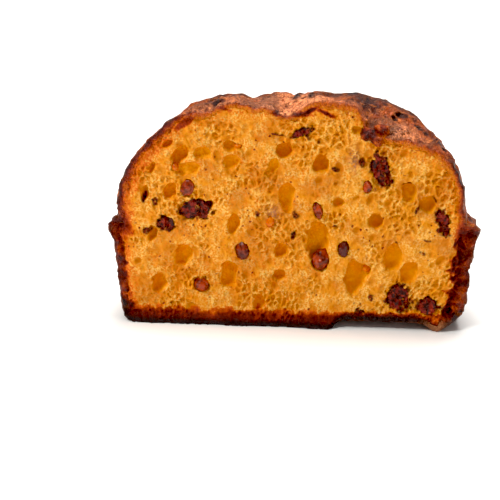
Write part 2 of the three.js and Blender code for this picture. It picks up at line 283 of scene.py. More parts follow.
def ripple(x, y, z, length, seed):
    """Three crossed sine waves, bent by a slower one: an unevenness of about -1 to 1."""
    k = 2 * math.pi / length
    bend = 1.7 * np.sin(k * 0.37 * (x + 0.6 * y - 0.8 * z) + seed)
    return (
        np.sin(k * (0.9 * x + 0.4 * y + 0.2 * z) + bend + seed)
        + np.sin(k * (-0.5 * x + 0.8 * y + 0.5 * z) - bend + 2.3 * seed)
        + np.sin(k * (0.2 * x - 0.6 * y + 0.9 * z) + 1.9 * bend + 4.1 * seed)
    ) / 3


def lattice(i, j, k, seed):
    """A repeatable random number from 0 to 1 for each whole-numbered place."""
    mixed = (i * 374761393 + j * 668265263 + k * 974634777 + seed * 1274126177) & 0xFFFFFFFF
    mixed = ((mixed ^ (mixed >> 13)) * 1274126177) & 0xFFFFFFFF
    return ((mixed ^ (mixed >> 16)) & 0xFFFFFF) / 16777216


def noise(x, y, z, size, seed):
    """Soft random bumps from -1 to 1, about size millimetres apart."""
    places = np.broadcast_arrays(x / size, y / size, z / size)
    cells = [np.floor(place).astype(np.int64) for place in places]
    eased = [(p - c) * (p - c) * (3 - 2 * (p - c)) for p, c in zip(places, cells)]
    total = 0.0
    for corner in range(8):
        steps = [(corner >> axis) & 1 for axis in range(3)]
        weight = 1.0
        for part, step in zip(eased, steps):
            weight = weight * (part if step else 1 - part)
        total = total + weight * lattice(*(c + s for c, s in zip(cells, steps)), seed)
    return 2 * total - 1


def grit(x, y, z, *layers):
    """Noises laid over one another, each given by its height, its size and its seed."""
    return sum(height * noise(x, y, z, size, seed) for height, size, seed in layers)


def nearest_grain(x, y, z, size, seed):
    """Distance to the nearest of a cloud of random points, in units of their spacing."""
    places = np.broadcast_arrays(x / size, y / size, z / size)
    cells = [np.floor(place).astype(np.int64) for place in places]
    nearest = np.full(places[0].shape, 9.0)
    for neighbour in range(27):
        steps = (neighbour % 3 - 1, neighbour // 3 % 3 - 1, neighbour // 9 - 1)
        corner = [c + s for c, s in zip(cells, steps)]
        gap = sum(
            (corner[axis] + lattice(*corner, seed + axis) - places[axis]) ** 2 for axis in range(3)
        )
        nearest = np.minimum(nearest, gap)
    return np.sqrt(nearest)


def egg_reach(x, z, centre_x, centre_z, across, tall, lean):
    """Squared distance from an egg's middle across the cut, 1 at its edge."""
    turn = math.radians(lean)
    dx, dz = x - centre_x, z - centre_z
    u = dx * math.cos(turn) - dz * math.sin(turn)
    w = dx * math.sin(turn) + dz * math.cos(turn)
    return (u / across) ** 2 + (w / tall) ** 2


def ellipsoid(x, y, z, lump):
    """Distance from a lump with a centre and half sizes, near enough beside its surface."""
    scaled = sum(((p - c) / half) ** 2 for p, c, half in zip((x, y, z), lump[:3], lump[3:]))
    return (np.sqrt(scaled) - 1) * min(lump[3:])


def edge_grain(x, z):
    """The unevenness of the browning's edge on the cut."""
    return grit(x, 0, z, (1, 3.2, 61), (0.6, 1.5, 62))


# The loaf's form


def side_radius(z):
    return BASE_RADIUS + (SIDE_TOP_RADIUS - BASE_RADIUS) * z / LIP_HEIGHT


def bare_profile():
    """The even profile, from the middle of the base over the lip to the top of the dome."""
    points = [(0.0, 0.0), (BASE_RADIUS - CORNER, 0.0)]
    for turn in range(10, 91, 10):
        a = math.radians(turn)
        radius = side_radius(CORNER) - CORNER + CORNER * math.sin(a)
        points.append((radius, CORNER - CORNER * math.cos(a)))
    points += [
        (side_radius(LIP_HEIGHT - 5), LIP_HEIGHT - 5),
        (SIDE_TOP_RADIUS, LIP_HEIGHT - 2),
        (SIDE_TOP_RADIUS, LIP_HEIGHT + 2),
        (SIDE_TOP_RADIUS - 1.2, LIP_HEIGHT + 4.6),
        (NECK_RADIUS + 1.6, LIP_HEIGHT + 5.4),
    ]
    for ring in range(DOME_RINGS + 1):
        a = math.pi / 2 * ring / DOME_RINGS
        across, up = max(0.0, math.cos(a)), math.sin(a)
        points.append(
            (
                NECK_RADIUS * across ** (2 / DOME_FULLNESS),
                NECK_HEIGHT + DOME_RISE * up ** (2 / DOME_FULLNESS),
            )
        )
    return np.array(points)


def profile_distance():
    """A function of radius and height that gives the distance from the even profile."""
    step, low = 0.5, -12.0
    points = bare_profile()
    radius = np.arange(0, 130, step)[:, None]
    height = np.arange(low, 160, step)[None, :]
    nearest = np.full((radius.size, height.size), 1e9)
    inside = np.zeros(nearest.shape, bool)
    for (r0, z0), (r1, z1) in zip(points[:-1], points[1:]):
        length = (r1 - r0) ** 2 + (z1 - z0) ** 2
        along = np.clip(((radius - r0) * (r1 - r0) + (height - z0) * (z1 - z0)) / length, 0, 1)
        gap = np.hypot(radius - r0 - along * (r1 - r0), height - z0 - along * (z1 - z0))
        nearest = np.minimum(nearest, gap)
        if z0 != z1:
            crossing = r0 + (height - z0) * (r1 - r0) / (z1 - z0)
            inside ^= ((z0 > height) != (z1 > height)) & (radius < crossing)
    table = np.where(inside, -nearest, nearest).astype(np.float32)

    def look_up(r, z):
        r = np.clip(r / step, 0, table.shape[0] - 1.01)
        z = np.clip((z - low) / step, 0, table.shape[1] - 1.01)
        i, j = r.astype(np.int32), z.astype(np.int32)
        r, z = r - i, z - j
        lower = table[i, j] * (1 - z) + table[i, j + 1] * z
        upper = table[i + 1, j] * (1 - z) + table[i + 1, j + 1] * z
        return lower * (1 - r) + upper * r

    return look_up


PROFILE = profile_distance()


def crust_dip(x, y):
    """Where the crust sank beside the cut: a long shelf on the right, and the small places."""
    behind = y + CUT
    shelf = 12.5 * smoothstep(x, 34, 44) * (1 - smoothstep(x, 48, 98)) * bell(behind, 0, 18)
    small = (
        depth * bell(x, middle, width) * bell(behind, 0, reach)
        for middle, width, depth, reach in SUNK_PLACES
    )
    return sum(small, shelf)


def dome_sag(x, y):
    """How far the dome lies lower behind the cut: slowly, in waves, and at once on the left."""
    behind = y + CUT
    at_once = 9.5 * smoothstep(behind, -2, 26) * smoothstep(-x, 58, 86)
    right = smoothstep(x, 22, 48) * (1 - smoothstep(x, 62, 92))
    waves = sum(depth * bell(x, centre, width) for centre, width, depth in DOME_WAVES)
    waves = waves * smoothstep(behind, 3, 22)
    return (8 - 4.5 * right) * smoothstep(behind, 5, 75) + waves + at_once


def score_line(x, y):
    """The scored cross on top: grooves with raised edges."""
    along = 0.35 * x - 0.94 * (y - 30)
    across = x + 12 - 0.5 * (y + CUT)
    first = sum(depth * bell(along, offset, width) for offset, width, depth in SCORE_ALONG)
    second = sum(depth * bell(across, offset, width) for offset, width, depth in SCORE_ACROSS)
    near_top = 1 - smoothstep(np.hypot(x, y), 45, 85)
    return 3 * near_top * (first + second * smoothstep(y, 8, 24))


def base_lift(x, y):
    """How far the base stands off the board at the right front, but for one lump of crust."""
    lump = np.exp(-(((x - 84.5) / 6) ** 2) - ((y + CUT - 3) / 7) ** 2)
    lifted = 5.2 * smoothstep(x, 23, 30) * (1 - smoothstep(y, 6, 30))
    return lifted * (1 - np.minimum(1, 1.15 * lump))


def cut_face(x, z):
    """How far behind y = 0 the crumb starts at a place on the cut face."""
    knife = 0.7 * ripple(x, 0, z, 70, 0.4) + 0.45 * ripple(x, 0, z, 23, 3.3)
    beside_wall = smoothstep(z, -4, 6) * (1 - smoothstep(z, 58, 66))
    torn = 5 * smoothstep(x, 88, 101) + 3 * smoothstep(-x, 90, 102)
    strip = 2.6 * (1 - smoothstep(z, 4, 6)) * (1 - smoothstep(x, 22, 27))
    return -CUT + knife + torn * beside_wall - strip


def lip_drop(x, y):
    """The lip hangs lower on the left, and lower all along behind the cut."""
    return 3.5 * smoothstep(y + CUT, 1, 14) + 4.6 * smoothstep(-x, 80, 95)


def cheeks(x, z):
    """Above the lip the dome bellies out on the left and is drawn in a little on the right."""
    left = 2.6 * bell(z, 75, 9) - 2.1 * bell(z, 108, 13)
    right = 1.4 * bell(z, 80, 8) + 1.4 * bell(z, 97, 10)
    return left * smoothstep(-x, 60, 78) - right * smoothstep(x, 70, 86)


def skin_distance(x, y, z):
    """Distance from the uneven skin, negative inside, and the height on the even profile."""
    dip = crust_dip(x, y)
    sag = dome_sag(x, y)
    score = score_line(x, y)
    lift = base_lift(x, y)
    drop = lip_drop(x, y)
    bare = z + 0 * dip
    for _ in range(6):
        bare = (
            z
            + dip * smoothstep(bare, 88, 112)
            + score * smoothstep(bare, 100, 120)
            + sag * smoothstep(bare, 78, 112)
            + drop * bell(bare, LIP_HEIGHT + 2, 9)
            - lift * (1 - smoothstep(bare, 2, 16))
        )
    on_dome = smoothstep(bare, NECK_HEIGHT, NECK_HEIGHT + 14)
    off_base = smoothstep(bare, 0.5, CORNER)
    lip = smoothstep(bare, 47, 55) * (1 - smoothstep(bare, LIP_HEIGHT + 2.5, LIP_HEIGHT + 5))
    left = 0.8 * smoothstep(-x, 85, 100)
    ragged = 1 + left + 0.7 * ripple(x, y, 0, 34, 0.7) + 0.5 * ripple(x, y, 0, 13, 2.9)
    push = (
        LIP_OVERHANG * ragged * lip
        + cheeks(x, bare)
        + off_base * (0.5 + 0.9 * on_dome) * ripple(x, y, bare, 52, 1.3)
        + off_base * (0.45 + 0.35 * on_dome) * (1 - 2 * np.abs(ripple(x, y, bare, 19, 4.2)))
    )
    return PROFILE(np.hypot(x, y), bare) - push, bare


# Small forms on the crust


def blend_in(first, second, width):
    """The nearer of two distances, with a soft fillet between the two forms."""
    share = np.clip(0.5 + 0.5 * (second - first) / width, 0, 1)
    return second * (1 - share) + first * share - width * share * (1 - share)


def crust_relief(x, y, z, bare, sizes):
    """Height of the wrinkles, blisters and pits that baking left on the skin."""
    dome = smoothstep(bare, 62, 74)
    lip = bell(bare, LIP_HEIGHT + 1, 6)
    bent_x = x + 3 * noise(x, y, z, 11, 5)
    bent_z = z + 3 * noise(x, y, z, 9, 6)
    fold = 1 - np.abs(noise(bent_x, y, 1.7 * bent_z, 8.5, 11)) * 2.4
    fine = 1 - np.abs(noise(bent_x, 0.5 * y, 1.3 * bent_z, 2.9, 12)) * 2.4
    lumps = noise(x, y, z, 15, 13)
    blister = smoothstep(1 - nearest_grain(x, y, z, 9, 14), 0.55, 0.85)
    pit = smoothstep(1 - nearest_grain(x, y, z, 4.2, 17), 0.72, 0.9)
    tear = noise(x, y, 0.5 * z, 5, 18) + 0.6 * noise(x, y, z, 2.2, 19)
    calm = 1 - 0.5 * smoothstep(y, 12, 45)
    skin = dome * (calm * (0.5 * fold + 0.42 * fine + 0.6 * blister) + 0.7 * lumps)
    coarse = 1 + 1.6 * (1 - smoothstep(y, -4, 10))
    side = (1 - dome) * coarse * (0.35 * noise(x, y, z, 6, 21) + 0.22 * fine - 0.4 * pit)
    return sizes.wrinkle_depth / MM * (skin + side + 0.9 * lip * tear)


def crust_field(x, y, z, distance, bare, sizes):
    """The crust's distance field at points near the surface: skin, lumps, holes and the cut."""
    relief = crust_relief(x, y, z, bare, sizes)
    close = distance - relief * smoothstep(bare, 0.5, 5)
    rough = grit(x, y, z, (1.4, 3.4, 31), (0.8, 1.8, 32))
    for lump in CRUST_LUMPS:
        close = blend_in(ellipsoid(x, y, z, lump) - rough, close, 1.0)
    for hole in CRUST_HOLES:
        close = np.maximum(close, -ellipsoid(x, y, z, hole))
    inset = -distance
    level = cut_face(x, z) + 0.9 * smoothstep(inset, 2.9, 3.9)
    level = level + grit(x, 0, z, (0.4, 2.2, 33), (0.3, 1.2, 34))
    by_wall = smoothstep(np.abs(x), 82, 92) * (1 - smoothstep(z, 56, 66)) * smoothstep(z, 2, 8)
    level = level + by_wall * grit(x, 0, z, (1.5, 3.6, 35), (1, 1.9, 36))
    for lump in CLUMP_AT_CUT:
        level = np.minimum(level, y + ellipsoid(x, y, z, lump) - rough)
    return np.maximum(close, level - y)


def crust_surface(sizes):
    """Points and quads of the half loaf's skin, with a level cut."""
    step = sizes.crust_grain / MM
    axes = [np.arange(low, high, step) for low, high in CRUST_BLOCK]
    single = [axis.astype(np.float32) for axis in axes]
    x, y, z = np.meshgrid(*single, indexing="ij", sparse=True)
    distance, bare = skin_distance(x, y, z)
    field = np.maximum(distance, cut_face(x, z) - y)
    i, j, k = np.nonzero(np.abs(field) < SKIN_BAND)
    near = (axis[at] for axis, at in zip(single, (i, j, k)))
    field[i, j, k] = crust_field(*near, distance[i, j, k], bare[i, j, k], sizes)
    grid = openvdb.FloatGrid(background=FAR_AWAY)
    grid.copyFromArray(np.clip(field, -FAR_AWAY, FAR_AWAY).astype(np.float32))
    points, quads = grid.convertToQuads(isovalue=0.0)
    return points * step + [axis[0] for axis in axes], quads


# Meshes


def mesh_from(name, points, *faces):
    mesh = bpy.data.meshes.new(name)
    faces = [face for kind in faces for face in kind.tolist()]
    mesh.from_pydata((points * MM).tolist(), [], faces)
    return mesh


def save_attributes(mesh, named):
    for name, values in named.items():
        made = mesh.attributes.new(name, "FLOAT", "POINT")
        made.data.foreach_set("value", np.ascontiguousarray(values, np.float32))


def patches(count, faces):
    """The number of the joined patch of faces that each point belongs to, of so many points."""
    label = np.arange(count)
    while True:
        lowest = label[faces].min(axis=1)
        before = label.copy()
        for corner in range(faces.shape[1]):
            np.minimum.at(label, faces[:, corner], lowest)
        label = label[label]
        if np.array_equal(before, label):
            return label


def largest_patch(count, faces):
    """The faces of the largest joined patch."""
    patch = patches(count, faces)[faces[:, 0]]
    return faces[patch == np.bincount(patch).argmax()]


def close_behind(points, faces, back, taper):
    """Close an open plate: its edge runs back to y = back, a little inwards, and is filled.

    Gives the points, with what more their rows hold, the quads, and the triangles behind.
    """
    start, end = faces.ravel(), np.roll(faces, -1, axis=1).ravel()
    count = len(points)
    open_sides = ~np.isin(start * count + end, end * count + start)
    edges = np.stack([start[open_sides], end[open_sides]], axis=1)
    rim, places = np.unique(edges, return_inverse=True)
    places = places.reshape(edges.shape)
    grown = points[rim]
    grown[:, 0] *= taper
    grown[:, 1] = back
    grown[:, 2] = TAPER_MIDDLE + (grown[:, 2] - TAPER_MIDDLE) * taper
    loops, member = np.unique(patches(len(rim), places), return_inverse=True)
    middles = np.stack([grown[member == loop].mean(axis=0) for loop in range(len(loops))])
    first, second = places.T + count
    walls = np.stack([edges[:, 1], edges[:, 0], first, second], axis=1)
    caps = np.stack([second, first, count + len(rim) + member[places[:, 0]]], axis=1)
    return np.concatenate([points, grown, middles]), np.concatenate([faces, walls]), caps


def compact(points, faces):
    """Drop the points that no face uses."""
    used, flat = np.unique(faces, return_inverse=True)
    return points[used], flat.reshape(faces.shape)


# The crumb on the cut


def wall_collar(x, z, inset, rough):
    """The coarse rusty crumb that clings to the side crust below the lip, from 0 to 1."""
    by_wall = smoothstep(np.abs(x), 76, 90) * (1 - smoothstep(z, 54, 64))
    width = (10.5 + 2.5 * rough) * np.where(x > 0, 1, 0.6)
    return by_wall * (1 - smoothstep(inset, width - 2, width + 1.5))


def spot(x, z, egg, rough, low, high):
    """A blurred spot in the shape of an egg on the cut: 1 up to one reach, 0 past another."""
    return 1 - smoothstep(np.sqrt(egg_reach(x, z, *egg)) + rough, low, high)


def how_browned(x, z, inset, rough):
    """How browned the bread is at a depth under its skin, from 0, crumb, to 1, crust."""
    pale_top = bell(x, 22, 16)
    ends = np.maximum(smoothstep(-x, 48, 72), 0.6 * smoothstep(x, 85, 100))
    dark = 0.38 - 0.12 * pale_top + 0.52 * ends
    thick = 3.0 + 2.6 * smoothstep(-x, 40, 85) + 1.4 * smoothstep(x, 60, 95)
    line = (0.45 + 0.35 * smoothstep(rough, -0.4, 0.5)) * (1 - 0.55 * pale_top)
    tinted = 0.24 * smoothstep(-x, 45, 80) + 0.12 * smoothstep(x, 60, 90)
    tinted = np.maximum(tinted, 0.13 * smoothstep(z, 80, 105))
    even = greatest(
        0,
        dark * (1 - inset / (thick * (1 + 0.5 * rough))),
        line * (1 - smoothstep(inset + 0.5 * rough, 0, 0.8)),
        0.3 * bell(x, 22, 17) * (1 - smoothstep(inset + 0.7 * rough, 1.5, 4.5)),
        0.065 * (1 - smoothstep(x, -5, 45)) * (1 + 0.5 * rough),
        tinted * (1 - smoothstep(inset + 3 * rough, 3, 17)),
    )
    base = 1 - smoothstep(z, 9, 15)
    middle = 1 - smoothstep(x, 20, 30)
    under = 1.45 - 0.15 * middle - inset / ((5.8 + 3.0 * middle) * (1 + 0.2 * rough))
    even = even * (1 - base) + base * np.maximum(0, under)
    granular = (0.58 + 0.3 * rough) * wall_collar(x, z, inset, rough)
    lip = smoothstep(np.abs(x), 91, 97) * bell(z, 60, 9) * (0.8 + 0.15 * rough)
    # Browning and painted shade under the folds of the crust
    scorched = (dark * spot(x, z, egg, 0.3 * rough, 0.4, 1.7) for *egg, dark in SHADE_AND_BROWNING_UNDER_FOLDS)
    return np.clip(greatest(even, granular, lip, *scorched), 0, 1)


def stained(x, z):
    """Melted chocolate that soaked into the crumb round the chunks, and the flecks."""
    rough = grit(x, 0, z, (1, 2.6, 41), (0.5, 1.2, 42))
    chunks = [(px, pz, across, tall, lean) for px, pz, across, tall, _, lean, _ in CHOCOLATES]
    return greatest(
        *(spot(x, z, chunk, 0.45 * rough, 0.9, 1.25) for chunk in chunks),
        *(spot(x, z, fleck, 0.5 * rough, 0.7, 1.2) for fleck in FLECKS),
    )


def slit_shade(x, z):
    """Painted shade in the insides of the gaps beside the wall."""
    gaps = [SIDE_SLIT, *CAVITIES[:2]]
    reaches = (egg_reach(x, z, *gap[:4], gap[5]) for gap in gaps)
    return greatest(*(1 - smoothstep(reach, 0.5, 1.1) for reach in reaches))


def cells(u, w, size, seed):
    """Distances to the nearest and the next of scattered points, in units of their spacing."""
    u, w = u / size, w / size
    i, k = np.floor(u).astype(np.int64), np.floor(w).astype(np.int64)
    first = np.full(u.shape, 9.0)
    second = first.copy()
    for near in range(9):
        ci, ck = i + near % 3 - 1, k + near // 3 - 1
        gap = np.hypot(ci + lattice(ci, 0, ck, seed) - u, ck + lattice(ci, 1, ck, seed) - w)
        second = np.minimum(second, np.maximum(first, gap))
        first = np.minimum(first, gap)
    return first, second


def crumb_cells(x, z):
    """Depth of the fine cells that thin walls part, taller than wide and fanning upwards."""
    u = np.arctan2(x, z + FAN_DEPTH) * FAN_RADIUS + 0.9 * noise(x, 0, z, 4, 55)
    w = np.hypot(x, z + FAN_DEPTH) / TALL_CELLS + 0.9 * noise(x, 0, z, 4, 56)
    loose = 0.35 + 0.65 * smoothstep(noise(x, 0, z, 13, 57), -0.5, 0.5)
    total = 0.0
    for size, deep, seed in ((3.6, 1.35, 58), (1.9, 0.75, 59)):
        first, second = cells(u, w, size, seed)
        total = total + deep * loose * smoothstep(second - first, 0.03, 0.5)
    return total


def fine_bubbles(x_axis, z_axis, depth, sizes):
    """Press the fine bubbles, longer than wide and fanning upwards, into the cut."""
    draw = np.random.default_rng(sizes.seed)
    step = x_axis[1] - x_axis[0]
    for count, small, large in FINE_BUBBLES:
        xs = draw.uniform(x_axis[0], x_axis[-1], count)
        zs = draw.uniform(z_axis[0], z_axis[-1], count)
        radii = small + (large - small) * draw.random(count) ** 2.2
        longer = draw.uniform(1.0, 1.9, count)
        leans = np.degrees(np.arctan2(xs, zs + 55)) * 0.9 + draw.normal(0, 18, count)
        deeps = radii * 0.8 * draw.uniform(0.5, 1.25, count)
        for x, z, radius, long, lean, deep in zip(xs, zs, radii, longer, leans, deeps):
            reach = radius * long + step
            i0, i1 = np.searchsorted(x_axis, (x - reach, x + reach))
            k0, k1 = np.searchsorted(z_axis, (z - reach, z + reach))
            if i0 == i1 or k0 == k1:
                continue
            gx, gz = x_axis[i0:i1, None], z_axis[None, k0:k1]
            q = egg_reach(gx, gz, x, z, radius, radius * long, lean)
            bowl = deep * np.sqrt(np.clip(1 - q, 0, 1))
            depth[i0:i1, k0:k1] = np.maximum(depth[i0:i1, k0:k1], bowl)


def bubble_bowls(x, z):
    """Depth of the large bubbles, and the painted shade under the roof of each one."""
    large, shade = 0.0, 0.0
    edge = 1 + grit(x, 0, z, (0.24, 6, 51), (0.14, 2.2, 52))
    for bx, bz, across, tall, deep, lean in [*BUBBLES, *CAVITIES, SIDE_SLIT]:
        q = egg_reach(x, z, bx, bz, across, tall, lean) / edge**2
        floor = 0.3 * deep if (bx, bz) != SIDE_SLIT[:2] else 0
        bowl = (floor + deep * np.sqrt(np.clip(1 - q, 0, 1))) * smoothstep(1 - q, 0, 0.3)
        large = np.maximum(large, bowl)
        # Painted shade: the upper left of each bubble's inside, which its rim hides from the light
        towards_light = (bx - x) / (2.4 * across) + (z - bz) / (1.3 * tall)
        shade = np.maximum(shade, smoothstep(towards_light, -0.5, 0.9) * (q < 1))
    return large, shade


def filling_seats(x, z):
    """Depth of the hollows that the fruit and the chocolate sit in."""
    seats = 0.0
    ragged = 1 + grit(x, 0, z, (0.45, 3.6, 63), (0.3, 1.6, 64))
    for px, pz, across, tall, deep, lean, sunk in [*RAISINS, *PEELS]:
        q = egg_reach(x, z, px, pz, across - 0.4, tall - 0.4, lean) / (0.75 + 0.25 * ragged) ** 2
        bowl = (sunk * deep + deep * np.sqrt(np.clip(1 - q, 0, 1))) * (q < 1)
        seats = np.maximum(seats, bowl)
    for px, pz, across, tall, _, lean, _ in CHOCOLATES:
        q = egg_reach(x, z, px, pz, across, tall, lean) / ragged**2
        seats = np.maximum(seats, 3.2 * smoothstep(1 - q, -0.05, 0.25) * (ragged > 0.78))
    return seats


def crumb_depths(x_axis, z_axis, inset, sizes):
    """Depth of the crumb behind the even cut, the part of it that small and large bubbles
    have, and the painted shade under the roof of a large bubble."""
    x, z = x_axis[:, None], z_axis[None, :]
    fine = np.zeros((x_axis.size, z_axis.size))
    fine_bubbles(x_axis, z_axis, fine, sizes)
    fine = np.maximum(fine, crumb_cells(x, z))
    large, shade = bubble_bowls(x, z)
    opened = smoothstep(large, 0.2, 1.6)
    waves = grit(x, 0, z, (0.45, 6, 53), (0.3, 2.4, 54))
    grain = 0.2 * noise(x, 0, z, 1.15, 55)
    surface = sizes.crumb_depth / MM * (fine * (1 - 0.75 * opened) + waves * (1 - opened)) + grain
    depth = np.maximum(surface + large, filling_seats(x, z))
    lumps = 2.6 * np.abs(noise(x, 0, z, 4.2, 65)) + 1.2 * np.abs(noise(x, 0, z, 2.1, 66)) - 0.6
    depth = depth + lumps * wall_collar(x, z, inset, 0)
    under_rim = 1.5 * (1 - smoothstep(inset, 2.5, 3.5))
    return depth + under_rim, fine, large, shade


def crumb_surface(sizes):
    """The crumb on the cut as a grid of points, with what colours it."""
    step = sizes.crumb_grain / MM
    x_axis, z_axis = (np.arange(low, high, step) for low, high in CRUMB_BLOCK)
    x, z = x_axis[:, None], z_axis[None, :]
    level = cut_face(x, z)
    distance, _ = skin_distance(x, level, z)
    inset = -distance
    depth, fine, large, shade = crumb_depths(x_axis, z_axis, inset, sizes)
    smudges = (bell(x, px, wide) * bell(z, pz, tall) for px, pz, wide, tall in SMUDGES)
    masks = {
        "browned": how_browned(x, z, inset, edge_grain(x, z)),
        # Painted shade: the deeper the fine cells, the darker their colour
        "cell_shade": np.clip(0.42 * fine, 0, 1),
        "opened": smoothstep(large, 0.3, 2),
        "shade": shade,
        # Chocolate stains, and painted shade inside the gaps beside the wall
        "stain_and_slit_shade": np.maximum(stained(x, z), slit_shade(x, z)),
        "smudge": sum(smudges),
    }
    number = np.arange(inset.size).reshape(inset.shape)
    corners = [number[:-1, :-1], number[1:, :-1], number[1:, 1:], number[:-1, 1:]]
    faces = np.stack(corners, axis=-1)
    inside = (inset > CRUMB_INSET).ravel()
    faces = largest_patch(number.size, faces[inside[faces].all(axis=-1)])
    columns = np.broadcast_arrays(x, level + depth, z, *masks.values())
    rows = np.stack([column.ravel() for column in columns], axis=1)
    rows, *faces = close_behind(*compact(rows, faces), CRUMB_BACK, CRUMB_TAPER)
    return rows[:, :3], faces, dict(zip(masks, rows[:, 3:].T))


# The baked skin


def crust_plate(sizes):
    """The half loaf's skin with a rim round the cut, closed behind the crumb.

    The level part of the cut inside the rim is left out, because the crumb takes its place.
    """
    points, quads = crust_surface(sizes)
    x, y, z = points.T
    behind = y - cut_face(x, z)
    deep = skin_distance(x, y, z)[0] < -RIM_WIDTH
    hidden = (behind < 2.5) & (behind > -0.9) & deep & (y < 3)
    quads = largest_patch(len(points), quads[~hidden[quads].all(axis=1)].astype(np.int64))
    # Each quad starts from its last corner, which settles the way it is split in triangles
    points, quads = compact(points, np.roll(quads, 1, axis=1))
    return close_behind(points, quads, CRUST_BACK, CRUST_TAPER)


def charred(x, y, z, bare, rough):
    """Where the oven scorched the crust: ridges, two dark patches, raisins and the base, with
    painted shade in the holes.
    """
    ridge = smoothstep(bare, 112, 134) * smoothstep(noise(x, y, z, 13, 71), 0.05, 0.6)
    patch = np.maximum(bell(x, -44, 17), bell(x, 34, 15)) * smoothstep(y, 6, 24)
    underside = 1 - smoothstep(z + rough, 1, 6)
    char_and_hole_shade = greatest(
        0.6 * ridge,
        patch * smoothstep(z, 118, 126) * (0.6 + 0.5 * rough),
        0.85 * underside * (1 - bell(x, 84, 8) * bell(y, -5, 9)),
        *(1.4 * bell(x, px, 2.6) * bell(y, py, 2.8) * (z > 125) for px, py, *_ in SCORCHED_RAISINS),
        # Painted shade in the holes of the crust
        *(0.9 * (1 - smoothstep(ellipsoid(x, y, z, hole), 0.1, 0.8)) for hole in CRUST_HOLES),
    )
    return np.clip(char_and_hole_shade, 0, 1)


def crust_masks(x, y, z, sizes):
    """What colours the crust, from 0 to 1 at each point, by the names that its material reads."""
    distance, bare = skin_distance(x, y, z)
    inset = -distance
    behind = y - cut_face(x, z)
    rough = edge_grain(x, z)
    relief = crust_relief(x, y, z, bare, sizes)
    on_cut = (1 - smoothstep(behind + 0.5 * rough, 0.9, 1.9)) * smoothstep(behind, -1.8, -0.9)
    under = on_cut * smoothstep(inset + 0.4 * rough, -0.2, 0.6)
    under = under * (1 - np.clip(1.5 * bell(x, 83.5, 6) * bell(z, 3.5, 5), 0, 1))
    clump = (1 - smoothstep(ellipsoid(x, y, z, lump), 1.2, 2.2) for lump in CLUMP_AT_CUT)
    clump = greatest(*clump) * smoothstep(-y, 5, 7)
    flecked = np.clip(0.52 + grit(x, y, z, (0.4, 3, 74), (0.3, 1.5, 75)), 0.2, 1)
    rosy = 1.5 * bell(x, -3, 27) * bell(y, -4, 20) + 1.1 * bell(x, 60, 14) * bell(y, -3, 8)
    rosy = rosy + 0.4 * bell(x, -50, 14) * bell(y, -2, 10)
    rosy = rosy * smoothstep(z, 100, 115) + bell(x, 84, 7) * bell(z, 3, 5) * bell(y, -5, 12)
    return {
        "browned": how_browned(x, z, inset, rough) * (1 - clump) + flecked * clump,
        "outside": 1 - np.maximum(under, clump),
        # The relief's height, which the material darkens in its hollows as painted shade
        "relief": np.clip(0.5 + 0.35 * relief, 0, 1),
        "side": 1 - smoothstep(bare + 2 * rough, 60, 67),
        "char_and_hole_shade": charred(x, y, z, bare, rough),
        "rosy": np.clip(rosy, 0, 1),
        "away": 0.85 * smoothstep(y + 4 * rough, 8, 32),
    }


# Making pieces


def new_piece(name, mesh, material, slot, *nodes):
    """A finished piece: it rides on the loaf's body and stands for the named solids."""
    piece = bpy.data.objects.new(name, mesh)
    bpy.context.scene.collection.objects.link(piece)
    mesh.materials.clear()
    mesh.materials.append(material)
    mesh.shade_smooth()
    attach(piece, "root")
    if nodes:
        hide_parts(*nodes)


def nodes_called(stem):
    return sorted(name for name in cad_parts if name.startswith(stem + "_"))


# Materials

# Crumb yellow through orange and rust to the near black of the baked skin
BROWNING = (
    (0.0, "#E68E16"),
    (0.22, "#D0620F"),
    (0.45, "#9E360A"),
    (0.7, "#621607"),
    (1.0, "#210604"),
)


def linear(hex_colour):
    """An sRGB hex value as the linear colour that Blender's sockets take."""
    parts = [int(hex_colour[i : i + 2], 16) / 255 for i in (1, 3, 5)]
    return [p / 12.92 if p <= 0.04045 else ((p + 0.055) / 1.055) ** 2.4 for p in parts] + [1.0]


def add(tree, kind, settings=None, links=None):
    """Add a node with its own settings.

    Each input takes a value, a hex colour, a socket or a node, which stands for the first of
    its outputs that is in use.
    """
    made = tree.nodes.new(kind)
    for key, value in (settings or {}).items():
        setattr(made, key, value)
    for key, value in (links or {}).items():
        if isinstance(value, bpy.types.Node):
            value = next(output for output in value.outputs if output.enabled)
        if isinstance(value, bpy.types.NodeSocket):
            tree.links.new(value, made.inputs[key])
        else:
            is_hex = isinstance(value, str) and value.startswith("#")
            made.inputs[key].default_value = linear(value) if is_hex else value
    return made


def new_material(name, attributes, grains):
    """A material with the masks and the grains that its colours will follow.

    Each mask is an attribute of the piece. Each grain is a noise: its size in millimetres, its
    detail and its distortion.
    """
    material = bpy.data.materials.new(name)
    material.use_nodes = True
    tree = material.node_tree
    tree.nodes.clear()
    place = add(tree, "ShaderNodeTexCoord").outputs["Object"]
    masks = [
        add(tree, "ShaderNodeAttribute", {"attribute_name": wanted}).outputs["Fac"]
        for wanted in attributes
    ]
    noises = []
    for size, detail, bent in grains:
        links = {"Vector": place, "Scale": 1 / (size * MM), "Detail": detail, "Distortion": bent}
        noises.append(add(tree, "ShaderNodeTexNoise", {}, links))
    return material, tree, place, masks, noises


def lay(tree, under, over, mask=None, grain=None, limits=(0, 1), share=(0, 1)):
    """Lay a colour over another, where a mask says and where a grain lies past its limits."""
    cover = mask
    if grain is not None:
        links = {"Value": grain, "From Min": limits[0], "From Max": limits[1]}
        links |= {"To Min": share[0], "To Max": share[1]}
        cover = add(tree, "ShaderNodeMapRange", {"interpolation_type": "SMOOTHSTEP"}, links)
    if grain is not None and mask is not None:
        cover = add(tree, "ShaderNodeMath", {"operation": "MULTIPLY"}, {0: cover, 1: mask})
    return add(tree, "ShaderNodeMix", {"data_type": "RGBA"}, {0: cover, 6: under, 7: over})


